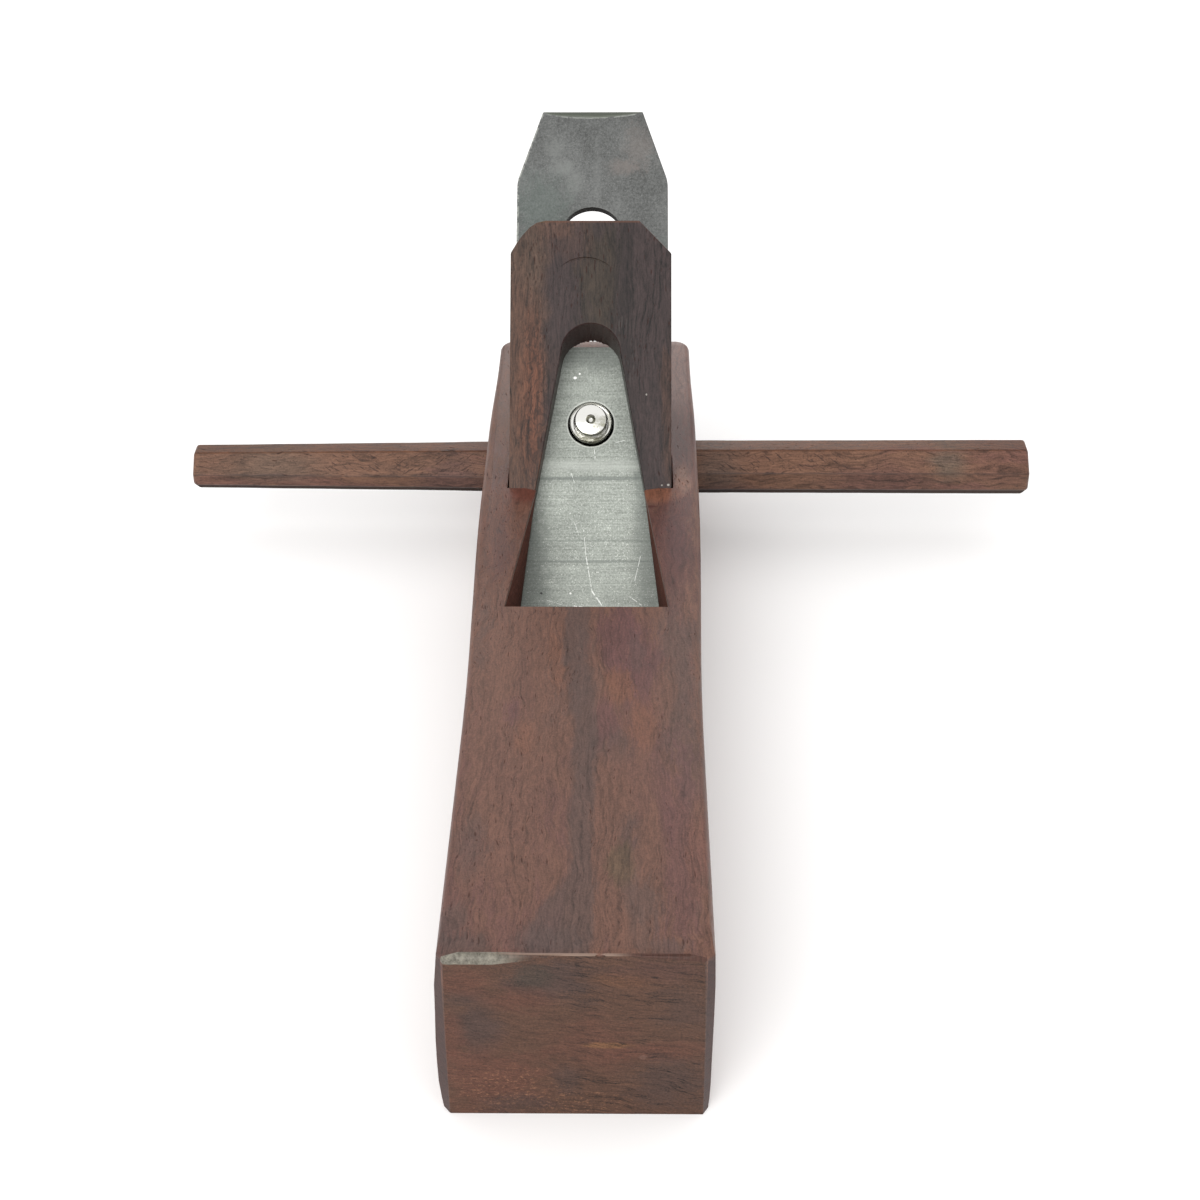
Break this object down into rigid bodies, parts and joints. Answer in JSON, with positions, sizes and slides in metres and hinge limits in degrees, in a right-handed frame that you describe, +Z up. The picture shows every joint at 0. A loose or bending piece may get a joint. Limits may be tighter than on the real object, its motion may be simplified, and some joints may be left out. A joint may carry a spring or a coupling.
{
  "type": "wooden bench plane",
  "caption": "Wooden bench plane with a double iron on a 45 degree bed, a forked wedge and a bar handle driven crosswise through the stock behind the iron.",
  "frame": {"origin": "on the flat sole, at the middle of the stock's length and width", "axes": "+Y from the toe to the heel along the stock, +Z up from the sole, +X towards the longer end of the cross handle"},
  "size_m": [0.2511, 0.28, 0.1217],
  "materials": {
    "stock_wood": "oiled rosewood, satin",
    "iron_steel": "dark tempered steel, matt",
    "cap_steel": "ground steel with fine scratches",
    "screw_plate": "bright nickel plate",
    "wedge_wood": "oiled dark rosewood, satin",
    "handle_wood": "oiled rosewood, satin"
  },
  "bodies": {
    "stock_body": {"stock": "stock_wood"},
    "iron_body": {"iron": "iron_steel"},
    "cap_iron_body": {"cap_iron": "cap_steel"},
    "cap_screw_body": {"cap_screw": "screw_plate"},
    "wedge_body": {"wedge": "wedge_wood"},
    "handle_body": {"cross_handle": "handle_wood"}
  },
  "joints": [
    {"name": "iron_slide", "type": "slide", "parent": "stock_body", "child": "iron_body", "axis": [0, 0.7071, 0.7071], "range_m": [0, 0.1]},
    {"name": "cap_iron_slide", "type": "slide", "parent": "iron_body", "child": "cap_iron_body", "axis": [0, 0.7071, 0.7071], "range_m": [0, 0.057]},
    {"name": "cap_screw_turn", "type": "hinge", "parent": "cap_iron_body", "child": "cap_screw_body", "pos_m": [0, 0.07016, 0.05126], "axis": [0, -0.7071, 0.7071], "range_deg": [0, 180]},
    {"name": "wedge_slide", "type": "slide", "parent": "cap_iron_body", "child": "wedge_body", "axis": [0, 0.7071, 0.7071], "range_m": [0, 0.075]},
    {"name": "handle_slide", "type": "slide", "parent": "stock_body", "child": "handle_body", "axis": [1, 0, 0], "range_m": [0, 0.155]}
  ]
}
